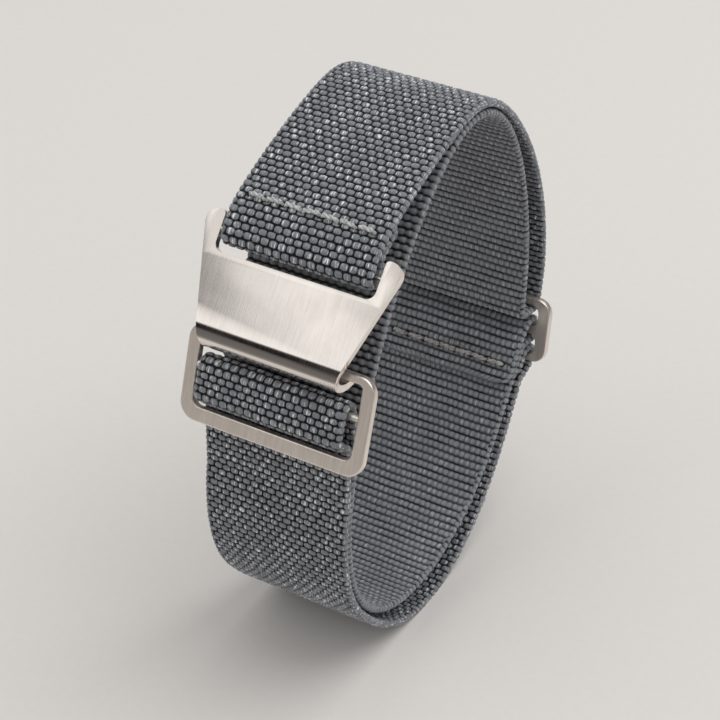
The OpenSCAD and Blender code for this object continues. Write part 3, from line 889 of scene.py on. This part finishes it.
def woven(name, painted_gap_shade, yarn, light, ribbed):
    """Elastic webbing: grey multifilament yarn, with painted shade darkening the gaps between its bumps and
    painted highlights on its lit strands, brightest on the bumps' crests.
    """
    cloth = Finish(name)
    height, tone = cloth.read("bump_height"), cloth.read("bump_tone")
    across, lengthways = cloth.read("yarn_across"), cloth.read("yarn_along")
    slant = (tone - 0.5) * 0.7
    strand_place = cloth.vector(across * 5.2 + lengthways * slant, lengthways * 0.7, tone * 9.0)
    strands = cloth.noise(strand_place, 1.0, 2.0, 0.6)
    fine = cloth.noise(cloth.vector(across * 13.0, lengthways * 2.0, tone * 5.0), 1.0, 2.0, 0.6)
    wide = cloth.noise(cloth.vector(across * 0.16, lengthways * 0.11, 3.0), 1.0, 3.0, 0.5)
    crest = cloth.between(height, 0.70, 0.97)
    glint = strands + (fine - 0.5) * 0.35 + (tone - 0.5) * 0.04
    # Painted highlight: near-white strands, stronger on the crests of the bumps
    painted_highlight_mask = cloth.between(glint, 0.53, 0.70) * (crest * 0.5 + 0.5)
    # Painted shade: the colour falls to near black where the weave's surface sinks into its gaps
    clear_of_painted_gap_shade = cloth.between(height, 0.20, 1.0) if ribbed else cloth.between(height, 0.28, 0.74)
    body = cloth.colour_mix(painted_highlight_mask, yarn, light)
    shaded = cloth.colour_mix(clear_of_painted_gap_shade, painted_gap_shade, body)
    patch = cloth.between(wide, 0.3, 0.7, 0.90, 1.06)
    cloth.wear(Base_Color=cloth.colour_mix(1.0, shaded, cloth.vector(patch, patch, patch), "MULTIPLY"),
               Roughness=cloth.between(strands, 0.3, 0.7, 0.72, 0.50), Sheen_Weight=0.08, Sheen_Roughness=0.5,
               Specular_IOR_Level=0.4,
               Normal=cloth.bump(strands + fine * 0.4, 0.00017, 0.8))
    return cloth.material


def steel(name, colour, dull, brushed, level=0.3, roll=0.0):
    """Satin steel sheet, brushed down its height, with paler worn edges and faint smears.

    The last argument paints a dark band into the colour at the start of a bend that faces forward and a
    little up: a painted reflection of dark surroundings, not the steel's own tone."""
    metal = Finish(name)
    place = metal.node("ShaderNodeTexCoord", {}, out="Object")
    parts = metal.node("ShaderNodeSeparateXYZ", {}, [place])
    x, y, z = parts, Wire(metal, parts.socket.node.outputs[1]), Wire(metal, parts.socket.node.outputs[2])
    lines = metal.noise(metal.vector(x * 9000.0, y * 260.0, z * 260.0), 1.0, 3.0, 0.65)
    broad = metal.noise(metal.vector(x * 1500.0, y * 90.0, z * 90.0), 1.0, 3.0, 0.55)
    smear = metal.noise(place, 190.0, 4.0, 0.55)
    edge = metal.node("ShaderNodeNewGeometry", {}, out="Pointiness")
    worn = metal.between(edge, 0.53, 0.62)
    face = metal.colour_mix(metal.between(lines * 0.6 + broad * 0.4, 0.36, 0.66), dull, colour)
    pale = tuple(min(1.0, c * 1.1 + 0.02) for c in colour)
    normal = metal.node("ShaderNodeNewGeometry", {}, out="Normal")
    facing = metal.node("ShaderNodeSeparateXYZ", {}, [normal], out=1)
    upward = Wire(metal, facing.socket.node.outputs[2])
    # Painted reflection: the colour is darkened in a band where the surface faces forward and a little up,
    # where dark walls would be reflected
    painted_reflection_band = metal.between(facing, -0.86, -0.78, 1.0, 0.0) * metal.between(upward, -0.16, 0.04)
    clear = 1.0 - painted_reflection_band * roll
    whole = metal.colour_mix(worn * 0.7, face, pale)
    satin = metal.between(lines * 0.5 + smear * 0.5, 0.3, 0.7, level - 0.06, level + 0.12)
    metal.wear(Base_Color=metal.colour_mix(1.0, whole, metal.vector(clear, clear, clear), "MULTIPLY"),
               Metallic=1.0, Roughness=satin - worn * 0.08,
               Normal=metal.bump(lines + broad * 0.5, 0.00002, brushed))
    return metal.material


def sewing(name, colour, dark):
    """Two-ply sewing thread with its fibres laid round the ply."""
    thread = Finish(name)
    place = thread.node("ShaderNodeTexCoord", {}, out="Object")
    fibres = thread.noise(place, 5200.0, 3.0, 0.6)
    soft = thread.noise(place, 1300.0, 2.0, 0.5)
    lit = thread.between(fibres * 0.6 + soft * 0.4, 0.35, 0.6)
    thread.wear(Base_Color=thread.colour_mix(lit, dark, colour),
                Roughness=thread.between(fibres, 0.3, 0.7, 0.5, 0.75), Sheen_Weight=0.2,
                Normal=thread.bump(fibres, 0.00006, 0.6))
    return thread.material


# Colours of the cloth: painted shade in its gaps, the yarn, and painted highlights on its lit strands
outer_cloth = woven("grey_elastic_webbing", (0.002, 0.0025, 0.004), (0.205, 0.215, 0.237),
                    (0.95, 0.97, 1.0), False)
inner_cloth = woven("grey_elastic_webbing_inside", (0.008, 0.009, 0.011), (0.250, 0.260, 0.282),
                    (0.50, 0.515, 0.54), True)
# The hook's last number sets how dark its painted reflection band is
hook_finish = steel("satin_hook_steel", (0.80, 0.745, 0.70), (0.71, 0.655, 0.61), 0.3, 0.25, 0.74)
ring_finish = steel("satin_ring_steel", (0.95, 0.87, 0.80), (0.80, 0.725, 0.66), 0.4, 0.36)
slider_finish = steel("satin_slider_steel", (0.93, 0.85, 0.78), (0.78, 0.705, 0.64), 0.4, 0.36)
hook_thread = sewing("light_grey_thread", (0.60, 0.60, 0.595), (0.30, 0.30, 0.30))
tail_thread = sewing("beige_grey_thread", (0.44, 0.425, 0.405), (0.20, 0.19, 0.18))

webbing_pieces = [
    (hook_fold, outer_cloth, "hook_fold", ("hook_end",)),
    (front_stretch, outer_cloth, "front_stretch_webbing", ("band", "hook_end")),
    (outer_upper, outer_cloth, "outer_upper_strap", ("band",)),
    (outer_upper_back, outer_cloth, "outer_upper_back_webbing", ("band", "slider_set")),
    (slider_turn, inner_cloth, "slider_turn", ("slider_set",)),
    (inner_upper_back, inner_cloth, "inner_upper_back_webbing", ("band", "slider_set")),
    (inner_loop, inner_cloth, "inner_loop_strap", ("band",)),
    (inner_lower_back, inner_cloth, "inner_lower_back_webbing", ("band", "slider_set")),
    (slider_fold, inner_cloth, "slider_fold", ("slider_set",)),
    (ring_webbing, outer_cloth, "ring_strap", ("band",)),
    (outer_lower_back, outer_cloth, "outer_lower_back_webbing", ("band", "slider_set")),
    (lower_slider_fold, outer_cloth, "lower_slider_fold", ("slider_set",)),
]
# Two profile points of each length that spans two bodies: at its first body's end and at its second's
bend_spans = {
    "front_stretch_webbing": (front_curve(STRETCH_START), front_curve(FOLD_START)),
    "outer_upper_back_webbing": (upper_line(BACK_HIGH), upper_line(BACK_SLIDER)),
    "inner_upper_back_webbing": (inner_line(BACK_HIGH), inner_line(BACK_SLIDER)),
    "inner_lower_back_webbing": (inner_line(BACK_LOWER_END), inner_line(BACK_LOW)),
    "outer_lower_back_webbing": (lower_line(BACK_LOWER_END), lower_line(BACK_LOW)),
}
for piece, finish, node, bodies in webbing_pieces:
    piece.data.materials.append(finish)
    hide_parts(node)
    if len(bodies) == 1:
        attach(piece, bodies[0])
    else:
        start, end = bend_spans[node]
        tuple(space(0, start))
        tuple(space(0, end))
        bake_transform(piece)

for piece, finish, node, body, slot in (
        (hook_stitches, hook_thread, "hook_stitching", "hook_end", "thread"),
        (slider_stitches, tail_thread, "slider_stitching", "slider_set", "thread"),
        (low_stitches, tail_thread, "lower_fold_stitching", "slider_set", "thread"),
        (ring_stitches, tail_thread, "ring_stitching", "band", "thread"),
        (hook, hook_finish, "hook_plate", "hook", "hook_steel"),
        (ring, ring_finish, "catch_ring", "ring", "ring_steel"),
        (slider, slider_finish, "slider", "slider_set", "slider_steel")):
    piece.data.materials.clear()
    piece.data.materials.append(finish)
    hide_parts(node)
    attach(piece, body)


# Floor, light and camera
FLOOR = 4.0
TABLE_NEAR, TABLE_FAR, TABLE_FADE = 0.07, 0.14, 0.15
floor_mesh = bpy.data.meshes.new("floor")
floor_mesh.from_pydata([(-FLOOR, -FLOOR, 0), (FLOOR, -FLOOR, 0), (FLOOR, FLOOR, 0), (-FLOOR, FLOOR, 0)],
                       [], [(0, 1, 2, 3)])
floor = link("floor", floor_mesh)
paper = Finish("pale_floor")
grain = paper.noise(paper.node("ShaderNodeTexCoord", {}, out="Object"), 900.0, 2.0, 0.5)
sheet = paper.colour_mix(paper.between(grain, 0.3, 0.7), (0.715, 0.69, 0.665), (0.725, 0.70, 0.675))
# The steel sees the floor a little darker beyond the object, as on a small table
ground = paper.node("ShaderNodeTexCoord", {}, out="Object")
reach = paper.node("ShaderNodeVectorMath", {"operation": "LENGTH"}, [ground], out=1)
mirrored = paper.node("ShaderNodeLightPath", {}, out="Is Glossy Ray")
kept = 1.0 - mirrored * paper.between(reach, TABLE_NEAR, TABLE_FAR, 0.0, TABLE_FADE)
paper.wear(Base_Color=paper.colour_mix(1.0, sheet, paper.vector(kept, kept, kept), "MULTIPLY"),
           Roughness=0.9, Specular_IOR_Level=0.1)
floor_mesh.materials.append(paper.material)


def lamp(name, power, size, place, aim=(0, 0, 0.03)):
    """A round area lamp that faces the band."""
    light = bpy.data.lights.new(name, "AREA")
    light.energy, light.shape, light.size = power, "DISK", size
    made = bpy.data.objects.new(name, light)
    made.location = place
    made.rotation_euler = (Vector(aim) - Vector(place)).to_track_quat("-Z", "Y").to_euler()
    bpy.context.collection.objects.link(made)


lamp("key_lamp", 5.0, 1.0, (0.35, 0.25, 1.0))
lamp("front_lamp", 0.16, 0.42, (-0.34, -0.46, 0.46))

# The studio: a pale ceiling over walls that only the steel sees dark, as a line along each bend.
# The camera sees a backdrop of its own above the floor.
world = bpy.data.worlds.new("studio")
bpy.context.scene.world = world
studio = Finish("studio", world)
direction = studio.node("ShaderNodeTexCoord", {}, out="Generated")
climb = studio.node("ShaderNodeSeparateXYZ", {}, [direction], out=2)
seen_in_steel = studio.node("ShaderNodeLightPath", {}, out="Is Glossy Ray")
light = studio.between(climb, 0.36, 0.56, 0.56 - seen_in_steel * 0.52, 0.70)
studio.feed(studio.shader.inputs["Color"], (1.0, 0.995, 0.985))
shown = studio.node("ShaderNodeLightPath", {}, out="Is Camera Ray")
backdrop = studio.between(climb, 0.0, 0.30, 0.46, 0.66)
studio.feed(studio.shader.inputs["Strength"], light + shown * (backdrop - light))

camera_data = bpy.data.cameras.new("photo_camera")
camera_data.lens, camera_data.sensor_width = 100, 36
camera_data.shift_x, camera_data.shift_y = -0.0143, -0.0182
camera_data.clip_start = 0.01
camera = bpy.data.objects.new("photo_camera", camera_data)
camera.location = (0.10346, -0.17438, 0.17808)
look_at = Vector((0, 0.0012625, 0.0363421))
camera.rotation_euler = (look_at - Vector(camera.location)).to_track_quat("-Z", "Y").to_euler()
bpy.context.collection.objects.link(camera)
bpy.context.scene.camera = camera
bpy.context.scene.view_settings.view_transform = "Standard"
